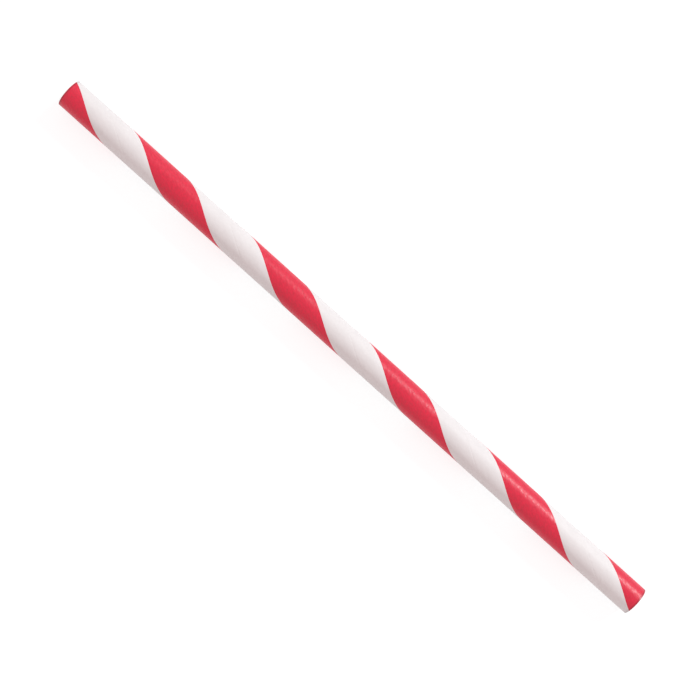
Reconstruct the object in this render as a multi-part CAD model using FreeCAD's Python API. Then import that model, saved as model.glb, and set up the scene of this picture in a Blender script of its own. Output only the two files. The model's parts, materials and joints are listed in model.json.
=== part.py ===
import FreeCAD, Part
import math
import os

# A paper drinking straw: a tube wound in a spiral from glued paper tape, with a printed stripe.
# It lies along +X with +Z up. The origin is on the table, under the middle of the straw.
# Sizes are in millimetres and angles in degrees.

# The tube
straw_length = 197.0
outer_diameter = 8.0
wall_thickness = 0.40

# The winding: a right-handed spiral, which moves on by one pitch in a turn.
winding_pitch = 40.87
# Where the outer tape's seam starts at the -X end, turned from +Y towards +Z.
seam_start_angle = 296.1
# The inner tape's seam lies opposite the outer one, so that no cut goes through both.
inner_seam_offset = 180.0

# Each tape's edges butt together and leave a fine crease along the spiral.
crease_width = 0.12
crease_depth = 0.02

# The printed stripe runs along the middle of the outer tape, measured across the tape.
stripe_width = 10.0

# How far a cutting tool passes the face and the ends that it cuts.
cutter_overrun = 0.03
end_overrun = 1.0

# The print is joined to the tube's face where it lies within this distance of it.
print_tolerance = 1e-4

outer_radius = outer_diameter / 2
bore_radius = outer_radius - wall_thickness
winding_angle = math.atan2(math.pi * outer_diameter, winding_pitch)
stripe_along_axis = stripe_width / math.sin(winding_angle)

# While it is wound, the straw stands on the origin along its own axis, w. It is laid down at the end.
w_axis = FreeCAD.Vector(0, 0, 1)
mandrel_base = FreeCAD.Vector(0, 0, 0)


def spiral(radius, start_angle, overrun):
    """The spiral edge on a radius, from start_angle at the lower end, run on past both ends."""
    edge = Part.makeHelix(winding_pitch, straw_length + 2 * overrun, radius)
    edge.translate(w_axis * -overrun)
    edge.rotate(mandrel_base, w_axis, start_angle - 360.0 * overrun / winding_pitch)
    return edge


def crease_cutter(radius, start_angle, into_wall):
    """The V of a butt seam swept along its spiral. into_wall is -1 from outside and 1 from the bore."""
    path = spiral(radius, start_angle, end_overrun)
    first = path.Edges[0]
    start = first.valueAt(first.FirstParameter)
    along = first.tangentAt(first.FirstParameter)
    outward = FreeCAD.Vector(start.x, start.y, 0).normalize()
    inward = outward * into_wall
    across = along.cross(outward).normalize()
    mouth = start - inward * cutter_overrun
    half_mouth = across * (crease_width / 2 * (1 + cutter_overrun / crease_depth))
    root = start + inward * crease_depth
    section = Part.makePolygon([root, mouth + half_mouth, mouth - half_mouth, root])
    return path.makePipeShell([section], True, True)


def paper_tube():
    """The wall of the straw, open at both ends, with a crease on each side of it."""
    outside = Part.makeCylinder(outer_radius, straw_length)
    bore = Part.makeCylinder(bore_radius, straw_length)
    outer_seam = crease_cutter(outer_radius, seam_start_angle, -1)
    inner_seam = crease_cutter(bore_radius, seam_start_angle + inner_seam_offset, 1)
    return outside.cut(bore).cut([outer_seam, inner_seam]).Solids[0]


def with_stripe(tube):
    """The tube with its outer face divided along both edges of the printed stripe."""
    bare_margin = (winding_pitch - stripe_along_axis) / 2
    borders = []
    for from_seam in (bare_margin, bare_margin + stripe_along_axis):
        angle = seam_start_angle - 360.0 * from_seam / winding_pitch
        borders += spiral(outer_radius, angle, 0.0).Edges
    divided, sources = tube.generalFuse(borders, print_tolerance)
    return sources[0][0]


def laid_down(tube):
    """The tube on the table, with its own axis along +X and its start angle counted from +Y."""
    turn = FreeCAD.Rotation(FreeCAD.Vector(1, 1, 1), 120.0)
    place = FreeCAD.Vector(-straw_length / 2, 0, outer_radius)
    laid = tube.copy()
    laid.Placement = FreeCAD.Placement(place, turn).multiply(laid.Placement)
    return laid


straw_tube = laid_down(with_stripe(paper_tube()))

os.makedirs("parts", exist_ok=True)
straw_tube.exportStep("parts/straw_tube.step")
print("straw_tube", straw_tube.ShapeType, "valid", straw_tube.isValid(), "faces", len(straw_tube.Faces))
print("volume", round(straw_tube.Volume, 3), "box", straw_tube.BoundBox)
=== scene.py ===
"""A printed paper drinking straw, wound from tape, on a white table."""

import json
import math

import bpy
import numpy as np
from bpy.props import FloatProperty, FloatVectorProperty, PointerProperty
from mathutils import Matrix, Vector


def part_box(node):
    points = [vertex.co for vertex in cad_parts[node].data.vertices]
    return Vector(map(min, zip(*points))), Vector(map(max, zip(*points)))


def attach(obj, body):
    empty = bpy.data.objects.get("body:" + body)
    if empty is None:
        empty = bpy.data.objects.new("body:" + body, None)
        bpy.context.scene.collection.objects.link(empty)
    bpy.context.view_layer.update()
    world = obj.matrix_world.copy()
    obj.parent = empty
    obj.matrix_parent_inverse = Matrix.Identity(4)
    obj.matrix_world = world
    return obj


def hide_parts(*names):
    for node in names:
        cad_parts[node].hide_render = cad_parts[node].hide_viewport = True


bl_info = {
    "name": "Paper Drinking Straw",
    "version": (1, 0, 0),
    "blender": (4, 5, 0),
    "location": "View3D > Sidebar > Straw",
    "description": "Winds a striped paper straw and lights it on a white table",
    "category": "Object",
}

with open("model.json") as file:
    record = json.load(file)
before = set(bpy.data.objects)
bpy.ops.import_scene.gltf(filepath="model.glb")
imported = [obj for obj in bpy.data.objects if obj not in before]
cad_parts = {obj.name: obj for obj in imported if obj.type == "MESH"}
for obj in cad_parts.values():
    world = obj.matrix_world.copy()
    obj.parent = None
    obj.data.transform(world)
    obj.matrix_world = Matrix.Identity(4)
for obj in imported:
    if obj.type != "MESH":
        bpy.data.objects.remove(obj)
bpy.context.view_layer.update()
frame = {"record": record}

# The tube's place and size come from the frame.
TUBE_NODE = "straw_tube"
TUBE_LOW, TUBE_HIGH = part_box(TUBE_NODE)
MOUNT_RADII = {m["name"]: m["dims"]["r_mm"] / 1000 for m in frame["record"]["mounts"]}

# How finely the tube is divided: along it, and across each field of one turn of its tape.
ALONG_STEPS = 324
CUT_STEPS = 4
CREASE_STEPS = 3
MARGIN_STEPS = 24
HALF_STRIPE_STEPS = 20
# Edges that bend by more than this stay sharp: the rims of the cuts.
SHARP_ANGLE = math.radians(40)
# The sheet is joined to itself where its points lie this near to each other, in metres.
JOIN_DISTANCE = 1e-7

# The tube's fields, in the order of its material slots.
BARE, PRINTED, BORE, CUT = range(4)
FIELD_NAMES = ("bare_paper", "red_print", "bore_paper", "cut_edge")

# The map that follows the tape, in metres along and across it.
TAPE_MAP = "tape"
# The map for finished textures: the straw in strips of equal length, one above the other.
FLAT_MAP = "OFBake"
FLAT_STRIPS = 3
FLAT_GAP = 0.004
# How high a strip of each field is there, in parts.
FLAT_HEIGHTS = {BARE: 13.5, PRINTED: 11.7, BORE: 7.5, CUT: 1.8}


class StrawWinding(bpy.types.PropertyGroup):
    """Sizes of the wound tube."""

    straw_length: FloatProperty(
        name="Straw length",
        description="From one cut end to the other",
        default=TUBE_HIGH.x - TUBE_LOW.x,
        unit="LENGTH",
    )
    outer_diameter: FloatProperty(
        name="Outer diameter",
        description="Across the outside of the tube",
        default=2 * MOUNT_RADII["outside"],
        unit="LENGTH",
    )
    wall_thickness: FloatProperty(
        name="Wall thickness",
        description="All plies of paper together",
        default=MOUNT_RADII["outside"] - MOUNT_RADII["bore"],
        unit="LENGTH",
    )
    winding_pitch: FloatProperty(
        name="Winding pitch",
        description="How far the tape moves along the straw in one turn",
        default=0.04087,
        unit="LENGTH",
    )
    seam_start: FloatProperty(
        name="Seam start",
        description="Where the seam meets the -X end, turned from +Y towards +Z",
        default=math.radians(296.1),
        unit="ROTATION",
    )
    crease_width: FloatProperty(
        name="Crease width",
        description="Across the fine crease where the tape's edges meet",
        default=0.00012,
        unit="LENGTH",
        precision=5,
    )
    crease_depth: FloatProperty(
        name="Crease depth",
        description="How deep that crease is",
        default=0.00002,
        unit="LENGTH",
        precision=5,
    )
    stripe_width: FloatProperty(
        name="Stripe width",
        description="The printed stripe, measured across the tape",
        default=0.01,
        unit="LENGTH",
    )


class StrawPaper(bpy.types.PropertyGroup):
    """Colours and gloss of the paper and its print."""

    bare_colour: FloatVectorProperty(
        name="Bare paper",
        description="The white outer paper",
        subtype="COLOR",
        default=(0.896, 0.884, 0.886),
        min=0,
        max=1,
    )
    print_colour: FloatVectorProperty(
        name="Print",
        description="The ink of the stripe",
        subtype="COLOR",
        default=(0.80, 0.007, 0.048),
        min=0,
        max=1,
    )
    bore_colour: FloatVectorProperty(
        name="Inner paper",
        description="The paper that lines the bore",
        subtype="COLOR",
        default=(0.88, 0.85, 0.82),
        min=0,
        max=1,
    )
    bare_roughness: FloatProperty(
        name="Bare roughness",
        description="How matt the bare paper is",
        default=0.5,
        subtype="FACTOR",
    )
    print_roughness: FloatProperty(
        name="Print roughness",
        description="How matt the ink is",
        default=0.41,
        subtype="FACTOR",
    )


class StrawStage(bpy.types.PropertyGroup):
    """The camera and the light."""

    focal_length: FloatProperty(
        name="Focal length",
        description="The camera's lens, on a sensor 36 mm wide",
        default=85.26,
        unit="CAMERA",
    )
    camera_height: FloatProperty(
        name="Camera height",
        description="From the straw's axis straight up to the camera",
        default=0.4296,
        unit="LENGTH",
    )
    slant: FloatProperty(
        name="Slant",
        description="How far the straw slopes down to the right in the picture",
        default=math.radians(41.95),
        unit="ROTATION",
    )
    shift_right: FloatProperty(
        name="Right of centre",
        description="How far the straw's middle lies right of the picture's centre",
        default=0.00052,
        unit="LENGTH",
    )
    shift_up: FloatProperty(
        name="Above centre",
        description="How far the straw's middle lies above the picture's centre",
        default=0.00075,
        unit="LENGTH",
    )
    key_strength: FloatProperty(
        name="Key lamp",
        description="Radiance of the large lamp",
        default=36.5,
    )
    sky_strength: FloatProperty(
        name="Room light",
        description="Radiance of the room overhead",
        default=0.735,
    )


class Recipe:
    """Adds nodes to a tree. Each value given to a node is a number or another node's output."""

    def __init__(self, tree):
        self.tree = tree

    def add(self, kind, inputs=None, **settings):
        node = self.tree.nodes.new(kind)
        for name, value in settings.items():
            setattr(node, name, value)
        for socket, value in (inputs or {}).items():
            self.feed(node.inputs[socket], value)
        return node

    def feed(self, socket, value):
        if isinstance(value, bpy.types.NodeSocket):
            self.tree.links.new(value, socket)
        else:
            socket.default_value = value

    def math(self, operation, first, second=0.0):
        node = self.add("ShaderNodeMath", {0: first, 1: second}, operation=operation)
        return node.outputs[0]

    def total(self, *values):
        found = values[0]
        for value in values[1:]:
            found = self.math("ADD", found, value)
        return found

    def product(self, *values):
        found = values[0]
        for value in values[1:]:
            found = self.math("MULTIPLY", found, value)
        return found

    def ranged(self, value, low, high, to_low=0.0, to_high=1.0):
        """value carried from low..high to to_low..to_high, and held at either end."""
        node = self.add("ShaderNodeMapRange", {0: value, 1: low, 2: high, 3: to_low, 4: to_high})
        return node.outputs[0]

    def blend(self, factor, first, second, kind="RGBA"):
        """A mix of two colours, or of two numbers with kind FLOAT."""
        a, b, out = {"RGBA": (6, 7, 2), "FLOAT": (2, 3, 0)}[kind]
        node = self.add("ShaderNodeMix", {0: factor, a: first, b: second}, data_type=kind)
        return node.outputs[out]


# The winding tree's inputs: its sizes, named as in the settings, and a material for each field.
SIZE_INPUTS = (
    "Straw Length",
    "Outer Diameter",
    "Wall Thickness",
    "Winding Pitch",
    "Seam Start",
    "Crease Width",
    "Crease Depth",
    "Stripe Width",
)
FIELD_INPUTS = ("Bare Paper", "Red Print", "Bore Paper", "Cut Edge")


def tape_angle(recipe, radius, pitch):
    """The angle between the straw's axis and a tape wound at that radius."""
    return recipe.math("ARCTAN2", recipe.product(radius, 2 * math.pi), pitch)


def tape_width(recipe, radius, pitch):
    """Width of a tape that covers a tube of that radius once, edge to edge."""
    return recipe.product(pitch, recipe.math("SINE", tape_angle(recipe, radius, pitch)))


def turn_stretches(recipe, half_seam, half_stripe, half_bore_seam):
    """One turn from seam to seam, as stretches, each with its count of steps and its two borders."""
    before_stripe = recipe.math("SUBTRACT", 0.5, half_stripe)
    before_bore_seam = recipe.math("SUBTRACT", 0.5, half_bore_seam)
    borders = (0.0, half_seam, before_stripe, before_bore_seam)
    borders += tuple(recipe.math("SUBTRACT", 1.0, border) for border in reversed(borders))
    counts = (CREASE_STEPS, MARGIN_STEPS, HALF_STRIPE_STEPS, 2 * CREASE_STEPS)
    counts += tuple(reversed(counts[:-1]))
    return tuple(zip(counts, borders, borders[1:]))


def turn_share(recipe, step, stretches):
    """How much of a turn lies between the seam and a step round the tube."""
    found = 0.0
    begun = 0
    for count, low, high in stretches:
        reach = recipe.math("SUBTRACT", high, low)
        found = recipe.total(found, recipe.ranged(step, begun, begun + count, 0.0, reach))
        begun += count
    return found


def round_trip(recipe, station, length):
    """How far a station lies along the tube, and how far into its wall: 0 outside and 1 in the bore."""
    way_back = ALONG_STEPS + CUT_STEPS
    out = recipe.ranged(station, 0, ALONG_STEPS, 0.0, length)
    inwards = recipe.ranged(station, ALONG_STEPS, way_back)
    back = recipe.ranged(station, way_back, way_back + ALONG_STEPS, 0.0, length)
    outwards = recipe.ranged(station, way_back + ALONG_STEPS, 2 * way_back)
    return recipe.math("SUBTRACT", out, back), recipe.math("SUBTRACT", inwards, outwards)


def creased_radius(recipe, share, into_wall, radii, half_seams, depth):
    """The tube's radius, with the V of the outer seam and that of the bore's seam opposite."""
    from_middle = recipe.math("ABSOLUTE", recipe.math("SUBTRACT", share, 0.5))
    from_seam = recipe.math("SUBTRACT", 0.5, from_middle)
    outer_crease = recipe.ranged(from_seam, 0.0, half_seams[0], depth, 0.0)
    bore_crease = recipe.ranged(from_middle, 0.0, half_seams[1], depth, 0.0)
    outside = recipe.math("SUBTRACT", radii[0], outer_crease)
    bore = recipe.math("ADD", radii[1], bore_crease)
    return recipe.blend(into_wall, outside, bore, kind="FLOAT")


def place_on_tube(recipe, along, radius, angle, length, outer_radius):
    """Where a point lies in the frame."""
    lengthways = recipe.math("SUBTRACT", along, recipe.product(length, 0.5))
    sideways = recipe.product(radius, recipe.math("COSINE", angle))
    height = recipe.total(outer_radius, recipe.product(radius, recipe.math("SINE", angle)))
    return recipe.add("ShaderNodeCombineXYZ", {0: lengthways, 1: sideways, 2: height}).outputs[0]


def place_on_tape(recipe, share, along, radius, pitch):
    """Metres along the tape and across it."""
    angle = tape_angle(recipe, radius, pitch)
    girth = recipe.product(radius, 2 * math.pi)
    round_part = recipe.product(share, girth, recipe.math("SINE", angle))
    run = recipe.total(recipe.math("DIVIDE", along, recipe.math("COSINE", angle)), round_part)
    across = recipe.product(share, tape_width(recipe, radius, pitch))
    return recipe.add("ShaderNodeCombineXYZ", {0: run, 1: across}).outputs[0]


def keep(recipe, mesh, domain, values):
    """Keeps values on a mesh's points or faces. Returns the mesh, and then each value as it was kept."""
    kept = recipe.add("GeometryNodeCaptureAttribute", {0: mesh}, domain=domain)
    for name, value in values.items():
        kept.capture_items.new("FLOAT", name)
        recipe.feed(kept.inputs[name], value)
    return kept.outputs[0], *(kept.outputs[name] for name in values)


def mark_fields(recipe, mesh, share, into_wall, half_stripe):
    """Marks the faces of each field but the bare paper. Returns the mesh, and the marks by name."""
    from_middle = recipe.math("ABSOLUTE", recipe.math("SUBTRACT", share, 0.5))
    half_step = 0.5 / CUT_STEPS
    marks = {
        "Red Print": recipe.math("LESS_THAN", from_middle, half_stripe),
        "Cut Edge": recipe.math("GREATER_THAN", into_wall, half_step / 2),
        "Bore Paper": recipe.math("GREATER_THAN", into_wall, 1 - half_step),
    }
    marked, *kept = keep(recipe, mesh, "FACE", marks)
    return marked, dict(zip(marks, kept))


def joined_smoothly(recipe, mesh):
    """The sheet joined to itself and shaded smooth, but for the rims of the cuts."""
    joined = recipe.add("GeometryNodeMergeByDistance", {"Geometry": mesh, "Distance": JOIN_DISTANCE})
    smooth = recipe.add("GeometryNodeSetShadeSmooth", {"Geometry": joined.outputs[0]}, domain="FACE")
    bend = recipe.add("GeometryNodeInputMeshEdgeAngle").outputs["Unsigned Angle"]
    sharp = recipe.math("GREATER_THAN", bend, SHARP_ANGLE)
    edged = recipe.add(
        "GeometryNodeSetShadeSmooth",
        {"Geometry": smooth.outputs[0], "Selection": sharp, "Shade Smooth": False},
        domain="EDGE",
    )
    return edged.outputs[0]


def winding_tree():
    """The tube as one sheet: out along its outside, over a cut, back along its bore and over a cut."""
    tree = bpy.data.node_groups.new("spiral_wound_tube", "GeometryNodeTree")
    tree.interface.new_socket("Tube", in_out="OUTPUT", socket_type="NodeSocketGeometry")
    for name in SIZE_INPUTS:
        tree.interface.new_socket(name, in_out="INPUT", socket_type="NodeSocketFloat")
    for name in FIELD_INPUTS:
        tree.interface.new_socket(name, in_out="INPUT", socket_type="NodeSocketMaterial")
    r = Recipe(tree)
    given = r.add("NodeGroupInput").outputs
    pitch = given["Winding Pitch"]
    length = given["Straw Length"]
    outer_radius = r.product(given["Outer Diameter"], 0.5)
    bore_radius = r.math("SUBTRACT", outer_radius, given["Wall Thickness"])

    # Half the width of each seam's crease and of the stripe, as shares of one turn.
    outer_tape = tape_width(r, outer_radius, pitch)
    bore_tape = tape_width(r, bore_radius, pitch)
    half_crease = r.product(given["Crease Width"], 0.5)
    half_seam = r.math("DIVIDE", half_crease, outer_tape)
    half_bore_seam = r.math("DIVIDE", half_crease, bore_tape)
    half_stripe = r.math("DIVIDE", r.product(given["Stripe Width"], 0.5), outer_tape)

    # Each point of the flat sheet has a station along it and a step across it.
    stretches = turn_stretches(r, half_seam, half_stripe, half_bore_seam)
    across_points = sum(count for count, *borders in stretches) + 1
    along_points = 2 * (ALONG_STEPS + CUT_STEPS) + 1
    sheet = r.add(
        "GeometryNodeMeshGrid",
        {"Size X": 1.0, "Size Y": 1.0, "Vertices X": along_points, "Vertices Y": across_points},
    )
    index = r.add("GeometryNodeInputIndex").outputs[0]
    # The half keeps rounding from putting a station's first point in the station before it.
    station = r.math("FLOOR", r.math("DIVIDE", r.math("ADD", index, 0.5), across_points))
    step = r.math("SUBTRACT", index, r.product(station, across_points))
    share = turn_share(r, step, stretches)
    along, into_wall = round_trip(r, station, length)

    # It is rolled up into the tube.
    radii = (outer_radius, bore_radius)
    half_seams = (half_seam, half_bore_seam)
    radius = creased_radius(r, share, into_wall, radii, half_seams, given["Crease Depth"])
    turns = r.total(share, r.math("DIVIDE", along, pitch))
    angle = r.total(given["Seam Start"], r.product(turns, 2 * math.pi))
    place = place_on_tube(r, along, radius, angle, length, outer_radius)

    # What the later steps need is kept on the points, because the index changes its meaning on faces.
    kept = {"Share": share, "Into Wall": into_wall, "Along": along}
    flat, share, into_wall, along = keep(r, sheet.outputs["Mesh"], "POINT", kept)
    rolled = r.add("GeometryNodeSetPosition", {"Geometry": flat, "Position": place})
    tape_place = place_on_tape(r, share, along, outer_radius, pitch)
    mapped = r.add(
        "GeometryNodeStoreNamedAttribute",
        {"Geometry": rolled.outputs[0], "Name": TAPE_MAP, "Value": tape_place},
        data_type="FLOAT2",
        domain="CORNER",
    )

    # The fields are marked before the seam's two sides are joined, where the share starts again.
    marked, fields = mark_fields(r, mapped.outputs[0], share, into_wall, half_stripe)
    real = r.add("GeometryNodeRealizeInstances", {"Geometry": joined_smoothly(r, marked)})
    paper = {"Geometry": real.outputs[0], "Material": given["Bare Paper"]}
    painted = r.add("GeometryNodeSetMaterial", paper)
    # Each field's material goes over the one before it.
    for name, faces in fields.items():
        coat = {"Geometry": painted.outputs[0], "Selection": faces, "Material": given[name]}
        painted = r.add("GeometryNodeSetMaterial", coat)
    r.add("NodeGroupOutput", {"Tube": painted.outputs[0]})
    return tree


# The colour is darker in a thin line round each end. It fades out over its own width again.
END_LINE_WIDTH = 0.0003
END_LINE_SHADE = 0.62
# Soft noise lies mostly between these two levels.
NOISE_SPAN = (0.3, 0.7)
# How much of the paper's fine relief comes from its fibres, and how much from its grain.
FIBRE_RELIEF = 0.7
GRAIN_RELIEF = 0.5


def shader_recipe(name):
    """A new material, its recipe and its Principled shader."""
    material = bpy.data.materials.new(name)
    material.use_nodes = True
    shader = material.node_tree.nodes["Principled BSDF"]
    return material, Recipe(material.node_tree), shader


def tape_noise(r, across, along, detail=2.0):
    """Soft noise that follows the tape, with grains of these sizes in metres."""
    place = r.add("ShaderNodeUVMap", uv_map=TAPE_MAP).outputs[0]
    sized = r.add("ShaderNodeMapping", {"Vector": place, "Scale": (1 / along, 1 / across, 1)})
    noise = r.add("ShaderNodeTexNoise", {"Vector": sized.outputs[0], "Scale": 1.0, "Detail": detail})
    return noise.outputs[0]


def shaded(colour, factor):
    """A colour made lighter or darker."""
    return (*(min(1.0, part * factor) for part in colour), 1.0)


def mottled(r, colour, clouds, fibres, fibre_part, levels, shades):
    """A colour between two of its shades, as clouds and part of the fibres go through the levels."""
    tone = r.ranged(r.total(clouds, r.product(fibres, fibre_part)), *levels)
    return r.blend(tone, shaded(colour, shades[0]), shaded(colour, shades[1]))


def uneven(r, noise, middle, reach):
    """A number that strays from its middle as the noise does, by its reach at most."""
    return r.ranged(noise, *NOISE_SPAN, middle - reach, middle + reach)


def bump(r, height, distance, strength, over=None):
    """The normal of a surface that rises with height, on top of another bump where one is given."""
    inputs = {"Strength": strength, "Distance": distance, "Height": height}
    if over is not None:
        inputs["Normal"] = over
    return r.add("ShaderNodeBump", inputs).outputs[0]


def darkened_at_ends(r, colour, paper_colour, winding, strength):
    """A colour that is darker in a thin line at both cut ends."""
    place = r.add("ShaderNodeTexCoord").outputs["Object"]
    along = r.add("ShaderNodeSeparateXYZ", {0: place}).outputs[0]
    from_end = r.math("SUBTRACT", winding.straw_length / 2, r.math("ABSOLUTE", along))
    mark = r.ranged(from_end, END_LINE_WIDTH, 2 * END_LINE_WIDTH, strength, 0.0)
    return r.blend(mark, colour, shaded(paper_colour, END_LINE_SHADE))


def paper_relief(r, shader, depth, cockle):
    """The paper's surface as bumps: low waves from the glue, and over them fibres along the tape."""
    waves = tape_noise(r, across=0.0009, along=0.0013)
    fibres = tape_noise(r, across=0.00010, along=0.0011, detail=3.0)
    grain = tape_noise(r, across=0.00022, along=0.00026)
    height = r.total(r.product(fibres, FIBRE_RELIEF), r.product(grain, GRAIN_RELIEF))
    wavy = bump(r, waves, cockle, strength=1.0)
    r.feed(shader.inputs["Normal"], bump(r, height, depth, strength=0.5, over=wavy))
    return fibres, grain


def finish(r, shader, colour, roughness, sheen):
    """Gives a surface its colour, how matt it is and how strongly it mirrors the light."""
    for name, value in (("Base Color", colour), ("Roughness", roughness), ("Specular IOR Level", sheen)):
        r.feed(shader.inputs[name], value)


def bare_paper(paper, winding):
    """Smooth white outer paper, with faint clouds and fibres."""
    material, r, shader = shader_recipe(FIELD_NAMES[BARE])
    fibres, grain = paper_relief(r, shader, depth=0.00001, cockle=0.00006)
    colour = mottled(
        r,
        paper.bare_colour,
        clouds=tape_noise(r, across=0.0028, along=0.0046),
        fibres=fibres,
        fibre_part=0.5,
        levels=(0.45, 1.05),
        shades=(0.965, 1.01),
    )
    # Darker in a thin line round both cut ends.
    colour = darkened_at_ends(r, colour, paper.bare_colour, winding, strength=0.5)
    roughness = uneven(r, grain, paper.bare_roughness, reach=0.06)
    finish(r, shader, colour, roughness, sheen=0.3)
    return material


def red_print(paper, winding):
    """Ink on the same paper: a little glossier, and mottled where it sank in."""
    material, r, shader = shader_recipe(FIELD_NAMES[PRINTED])
    fibres = paper_relief(r, shader, depth=0.000008, cockle=0.00009)[0]
    sunk = tape_noise(r, across=0.0005, along=0.0009, detail=3.0)
    colour = mottled(
        r,
        paper.print_colour,
        clouds=sunk,
        fibres=fibres,
        fibre_part=0.4,
        levels=(0.5, 0.95),
        shades=(0.85, 1.1),
    )
    # Darker in a thin line round both cut ends.
    colour = darkened_at_ends(r, colour, paper.print_colour, winding, strength=1.0)
    roughness = uneven(r, sunk, paper.print_roughness, reach=0.1)
    finish(r, shader, colour, roughness, sheen=0.6)
    return material


def bore_paper(paper):
    """Uncoated paper inside the bore."""
    material, r, shader = shader_recipe(FIELD_NAMES[BORE])
    fibres, grain = paper_relief(r, shader, depth=0.00002, cockle=0.00006)
    colour = mottled(
        r,
        paper.bore_colour,
        clouds=tape_noise(r, across=0.0015, along=0.0035),
        fibres=fibres,
        fibre_part=1.0,
        levels=(0.7, 1.3),
        shades=(0.93, 1.03),
    )
    finish(r, shader, colour, uneven(r, grain, middle=0.81, reach=0.09), sheen=0.2)
    return material


# Where the plies meet in the wall, as shares of it from outside, and how thick each glue line is.
PLY_JOINTS = (0.25, 0.625)
GLUE_LINE = 0.06
# How dark the glue is beside the paper, and how far it lies back, beside the height of the torn fibres.
GLUE_SHADE = 0.62
GLUE_DROP = 0.8
# Grains of torn fibre in a metre.
TORN_GRAINS = 9000.0


def cut_edge(paper, winding):
    """The cut through the plies, with a glue line between one ply and the next."""
    material, r, shader = shader_recipe(FIELD_NAMES[CUT])
    place = r.add("ShaderNodeTexCoord").outputs["Object"]
    radius = winding.outer_diameter / 2
    from_axis = {"Vector": place, "Location": (0, 0, -radius), "Scale": (0, 1, 1)}
    centred = r.add("ShaderNodeMapping", from_axis).outputs[0]
    reach = r.add("ShaderNodeVectorMath", {0: centred}, operation="LENGTH").outputs["Value"]
    into_wall = r.ranged(reach, radius, radius - winding.wall_thickness)
    torn = {"Vector": place, "Scale": TORN_GRAINS, "Detail": 3.0}
    noise = r.add("ShaderNodeTexNoise", torn).outputs[0]
    wavy = r.total(into_wall, r.product(r.math("SUBTRACT", noise, 0.5), GLUE_LINE))
    glue = 0.0
    for joint in PLY_JOINTS:
        away = r.math("ABSOLUTE", r.math("SUBTRACT", wavy, joint))
        glue = r.math("MAXIMUM", glue, r.ranged(away, 0.0, GLUE_LINE, 1.0, 0.0))
    plies = r.blend(noise, shaded(paper.bore_colour, 0.9), shaded(paper.bore_colour, 1.05))
    colour = r.blend(glue, plies, shaded(paper.bore_colour, GLUE_SHADE))
    finish(r, shader, colour, roughness=0.9, sheen=0.2)
    height = r.math("SUBTRACT", noise, r.product(glue, GLUE_DROP))
    r.feed(shader.inputs["Normal"], bump(r, height, distance=0.00003, strength=0.7))
    return material


def flat_strips():
    """Bottom and height of each field's strips on the flat map."""
    counts = {BARE: FLAT_STRIPS, PRINTED: FLAT_STRIPS, BORE: FLAT_STRIPS, CUT: 2}
    parts = sum(FLAT_HEIGHTS[field] * count for field, count in counts.items())
    room = 1 - FLAT_GAP * (sum(counts.values()) + 1)
    found = {}
    bottom = FLAT_GAP
    for field, count in counts.items():
        height = FLAT_HEIGHTS[field] / parts * room
        for strip in range(count):
            found[field, strip] = (bottom, height)
            bottom += height + FLAT_GAP
    return found


def mesh_values(rows, name, count=1, kind=np.int32):
    """One property of all the points, corners or faces of a mesh, with count numbers for each."""
    found = np.empty(len(rows) * count, kind)
    rows.foreach_get(name, found)
    return found


def lay_flat(mesh, winding):
    """Gives the tube the map for finished textures. The print's borders run level on it."""
    tape = mesh_values(mesh.uv_layers[TAPE_MAP].uv, "vector", 2, np.float32).reshape(-1, 2)
    corner_point = mesh_values(mesh.loops, "vertex_index")
    points = mesh_values(mesh.vertices, "co", 3, np.float32).reshape(-1, 3)[corner_point]
    face_sides = mesh_values(mesh.polygons, "loop_total")
    field = np.repeat(mesh_values(mesh.polygons, "material_index"), face_sides)
    bare, printed, cut = (field == kind for kind in (BARE, PRINTED, CUT))

    # Where each corner lies: along the tube, round its turn and into its wall, each from 0 to 1.
    radius = winding.outer_diameter / 2
    along = points[:, 0] / winding.straw_length + 0.5
    angle = math.atan2(2 * math.pi * radius, winding.winding_pitch)
    share = tape[:, 1] / (winding.winding_pitch * math.sin(angle))
    half_stripe = winding.stripe_width / 2 / (winding.winding_pitch * math.sin(angle))
    reach = np.hypot(points[:, 1], points[:, 2] - radius)
    into_wall = (radius - reach) / winding.wall_thickness
    past_seam = np.where(share > 0.5, share - 1, share)

    # A face lies whole in the strip that its middle falls in.
    first = np.concatenate(([0], np.cumsum(face_sides)[:-1]))
    middle = np.repeat(np.add.reduceat(along, first) / face_sides, face_sides)
    strip = np.minimum((middle * FLAT_STRIPS).astype(int), FLAT_STRIPS - 1)
    across = along * FLAT_STRIPS - strip
    up = share.copy()
    up[bare] = (past_seam[bare] / (0.5 - half_stripe) + 1) / 2
    up[printed] = ((share[printed] - 0.5) / half_stripe + 1) / 2
    # Each cut has a strip of its own, which goes round the straw instead of along it.
    strip[cut] = (middle[cut] > 0.5).astype(int)
    across[cut] = share[cut]
    up[cut] = into_wall[cut]

    places = flat_strips()
    bottoms = np.array([places[f, s][0] for f, s in zip(field, strip)])
    heights = np.array([places[f, s][1] for f, s in zip(field, strip)])
    flat = np.empty((len(mesh.loops), 2), np.float32)
    flat[:, 0] = FLAT_GAP + across.clip(0, 1) * (1 - 2 * FLAT_GAP)
    flat[:, 1] = bottoms + up.clip(0, 1) * heights
    mesh.uv_layers.new(name=FLAT_MAP).uv.foreach_set("vector", flat.ravel())


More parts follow.
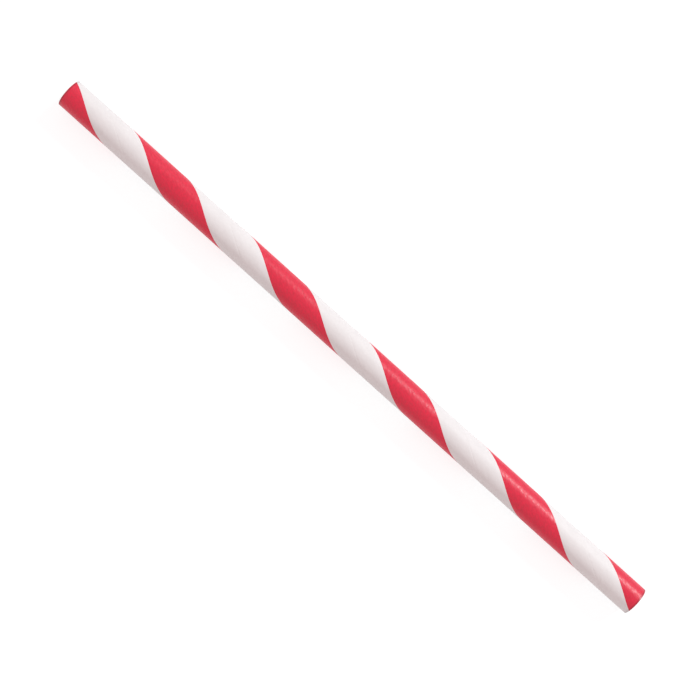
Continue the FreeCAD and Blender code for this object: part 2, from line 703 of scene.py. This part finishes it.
def wound_mesh(context, winding, fields):
    """The tube as a plain mesh, wound on a mandrel that is taken away again."""
    values = {name: getattr(winding, name.lower().replace(" ", "_")) for name in SIZE_INPUTS}
    values.update(zip(FIELD_INPUTS, fields))
    tree = winding_tree()
    mandrel = bpy.data.objects.new("mandrel", bpy.data.meshes.new("mandrel"))
    context.scene.collection.objects.link(mandrel)
    modifier = mandrel.modifiers.new("winding", "NODES")
    modifier.node_group = tree
    for item in tree.interface.items_tree:
        if item.in_out == "INPUT":
            modifier[item.identifier] = values[item.name]
    wound = mandrel.evaluated_get(context.evaluated_depsgraph_get())
    mesh = bpy.data.meshes.new_from_object(wound)
    bpy.data.objects.remove(mandrel)
    return mesh


def order_fields(mesh, fields):
    """Puts the mesh's materials in the order of the fields."""
    names = [material.name for material in fields]
    places = [names.index(material.name) if material else BARE for material in mesh.materials]
    was = mesh_values(mesh.polygons, "material_index")
    mesh.materials.clear()
    for material in fields:
        mesh.materials.append(material)
    mesh.polygons.foreach_set("material_index", np.array(places, np.int32)[was])


class STRAW_OT_wind_tube(bpy.types.Operator):
    """Winds the tube from its tape and prints the stripe on it"""

    bl_idname = "straw.wind_tube"
    bl_label = "Wind the straw"

    def execute(self, context):
        winding = context.scene.straw_winding
        paper = context.scene.straw_paper
        fields = (
            bare_paper(paper, winding),
            red_print(paper, winding),
            bore_paper(paper),
            cut_edge(paper, winding),
        )
        mesh = wound_mesh(context, winding, fields)
        if not mesh.polygons:
            raise RuntimeError("the winding made no faces")
        mesh.name = "paper_straw"
        order_fields(mesh, fields)
        lay_flat(mesh, winding)
        straw = bpy.data.objects.new("paper_straw", mesh)
        context.scene.collection.objects.link(straw)
        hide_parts(TUBE_NODE)
        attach(straw, "root")
        return {"FINISHED"}


# The stage. Lengths are in metres.
TABLE_SIZE = 12.0
TABLE_COLOUR = (0.9, 0.9, 0.9)
# How the table looks straight to the camera: partly lit, so that it keeps the shadow, and partly white.
SEEN_COLOUR = (0.38, 0.42, 0.425)
SEEN_GLOW = 0.76
# The key lamp's distance is counted across the straw, from the line where it touches the table.
KEY_DISTANCE = 1.6
KEY_ELEVATION = math.radians(34.5)
# How far the lamp stands towards the straw's +X end, as a share of that distance.
KEY_TOWARDS_END = 0.26
KEY_SIZES = (0.42, 0.26)
KEY_TINT = (0.89, 1.0, 1.01)
SKY_TINT = (1.05, 0.885, 0.88)
# The room is darker near the horizon than overhead, by this share.
HORIZON_SHARE = 0.6
# The camera's sensor, in millimetres, and where its view begins.
SENSOR_WIDTH = 36
CLIP_START = 0.01


def seen_directly(r):
    """1 for rays that show the background itself, and 0 for those that light the object."""
    rays = r.add("ShaderNodeLightPath").outputs
    found = rays["Is Camera Ray"]
    for name in ("Is Glossy Ray", "Is Transmission Ray"):
        found = r.math("MAXIMUM", found, rays[name])
    return found


def lay_table(scene):
    """A wide white table, on which the shadow stays faint in the picture."""
    half = TABLE_SIZE / 2
    mesh = bpy.data.meshes.new("table")
    corners = [(-half, -half, 0), (half, -half, 0), (half, half, 0), (-half, half, 0)]
    mesh.from_pydata(corners, [], [(0, 1, 2, 3)])
    table = bpy.data.objects.new("table", mesh)
    scene.collection.objects.link(table)
    material = bpy.data.materials.new("white_table")
    material.use_nodes = True
    material.node_tree.nodes.clear()
    r = Recipe(material.node_tree)
    seen = seen_directly(r)
    albedo = r.blend(seen, (*TABLE_COLOUR, 1), (*SEEN_COLOUR, 1))
    lit = r.add("ShaderNodeBsdfDiffuse", {"Color": albedo})
    glow = r.add("ShaderNodeEmission", {"Strength": r.product(seen, SEEN_GLOW)})
    both = r.add("ShaderNodeAddShader", {0: lit.outputs[0], 1: glow.outputs[0]})
    r.add("ShaderNodeOutputMaterial", {"Surface": both.outputs[0]})
    mesh.materials.append(material)


def light_room(scene, stage):
    """Soft light from all round, and plain white where the room itself is seen."""
    world = bpy.data.worlds.new("white_room")
    scene.world = world
    world.use_nodes = True
    world.node_tree.nodes.clear()
    r = Recipe(world.node_tree)
    seen = seen_directly(r)
    colour = r.blend(seen, (*SKY_TINT, 1), (1, 1, 1, 1))
    direction = r.add("ShaderNodeTexCoord").outputs["Generated"]
    height = r.add("ShaderNodeSeparateXYZ", {0: direction}).outputs[2]
    level = r.ranged(height, 0.0, 1.0, HORIZON_SHARE * stage.sky_strength, stage.sky_strength)
    strength = r.blend(seen, level, 1.0, kind="FLOAT")
    sky = r.add("ShaderNodeBackground", {"Color": colour, "Strength": strength})
    r.add("ShaderNodeOutputWorld", {"Surface": sky.outputs[0]})


def hang_key_lamp(scene, radiance, aim):
    """A large flat lamp that faces aim. Its power is its radiance times its area times pi."""
    width, height = KEY_SIZES
    lamp = bpy.data.lights.new("key_lamp", "AREA")
    lamp.shape = "RECTANGLE"
    lamp.size = width
    lamp.size_y = height
    lamp.energy = radiance * width * height * math.pi
    lamp.color = KEY_TINT
    direction = Vector((KEY_TOWARDS_END, math.cos(KEY_ELEVATION), math.sin(KEY_ELEVATION)))
    place = direction * KEY_DISTANCE
    holder = bpy.data.objects.new("key_lamp", lamp)
    holder.location = place
    holder.rotation_euler = (aim - place).to_track_quat("-Z", "Y").to_euler()
    scene.collection.objects.link(holder)


def aim_camera(scene, stage, axis_height):
    """A camera that looks straight down, turned so that the straw slants in the picture."""
    data = bpy.data.cameras.new("camera")
    data.sensor_width = SENSOR_WIDTH
    data.lens = stage.focal_length
    data.clip_start = CLIP_START
    data.clip_end = 2 * TABLE_SIZE
    turn = Matrix.Rotation(stage.slant, 4, "Z")
    offset = turn @ Vector((-stage.shift_right, -stage.shift_up, 0))
    place = offset + Vector((0, 0, axis_height + stage.camera_height))
    camera = bpy.data.objects.new("camera", data)
    camera.matrix_world = Matrix.Translation(place) @ turn
    scene.collection.objects.link(camera)
    scene.camera = camera


class STRAW_OT_set_stage(bpy.types.Operator):
    """Lays the white table, lights it softly and aims the camera"""

    bl_idname = "straw.set_stage"
    bl_label = "Set the stage"

    def execute(self, context):
        scene = context.scene
        stage = scene.straw_stage
        axis_height = scene.straw_winding.outer_diameter / 2
        lay_table(scene)
        light_room(scene, stage)
        hang_key_lamp(scene, stage.key_strength, aim=Vector((0, 0, axis_height)))
        aim_camera(scene, stage, axis_height)
        scene.view_settings.view_transform = "Standard"
        return {"FINISHED"}


class STRAW_PT_sidebar(bpy.types.Panel):
    """Lists the straw's settings and the steps that make it"""

    bl_idname = "STRAW_PT_sidebar"
    bl_label = "Paper Straw"
    bl_space_type = "VIEW_3D"
    bl_region_type = "UI"
    bl_category = "Straw"

    def draw(self, context):
        for group, kind in SETTINGS.items():
            box = self.layout.box()
            for name in kind.__annotations__:
                box.prop(getattr(context.scene, group), name)
        for step in STEPS:
            self.layout.operator(step.bl_idname)


STEPS = (STRAW_OT_wind_tube, STRAW_OT_set_stage)
SETTINGS = {"straw_winding": StrawWinding, "straw_paper": StrawPaper, "straw_stage": StrawStage}


def register():
    for kind in (*SETTINGS.values(), *STEPS, STRAW_PT_sidebar):
        bpy.utils.register_class(kind)
    for name, kind in SETTINGS.items():
        setattr(bpy.types.Scene, name, PointerProperty(type=kind))


def unregister():
    for name in SETTINGS:
        delattr(bpy.types.Scene, name)
    for kind in (STRAW_PT_sidebar, *reversed(STEPS), *reversed(SETTINGS.values())):
        bpy.utils.unregister_class(kind)


def main():
    register()
    bpy.ops.straw.wind_tube()
    bpy.ops.straw.set_stage()


if __name__ == "__main__":
    main()
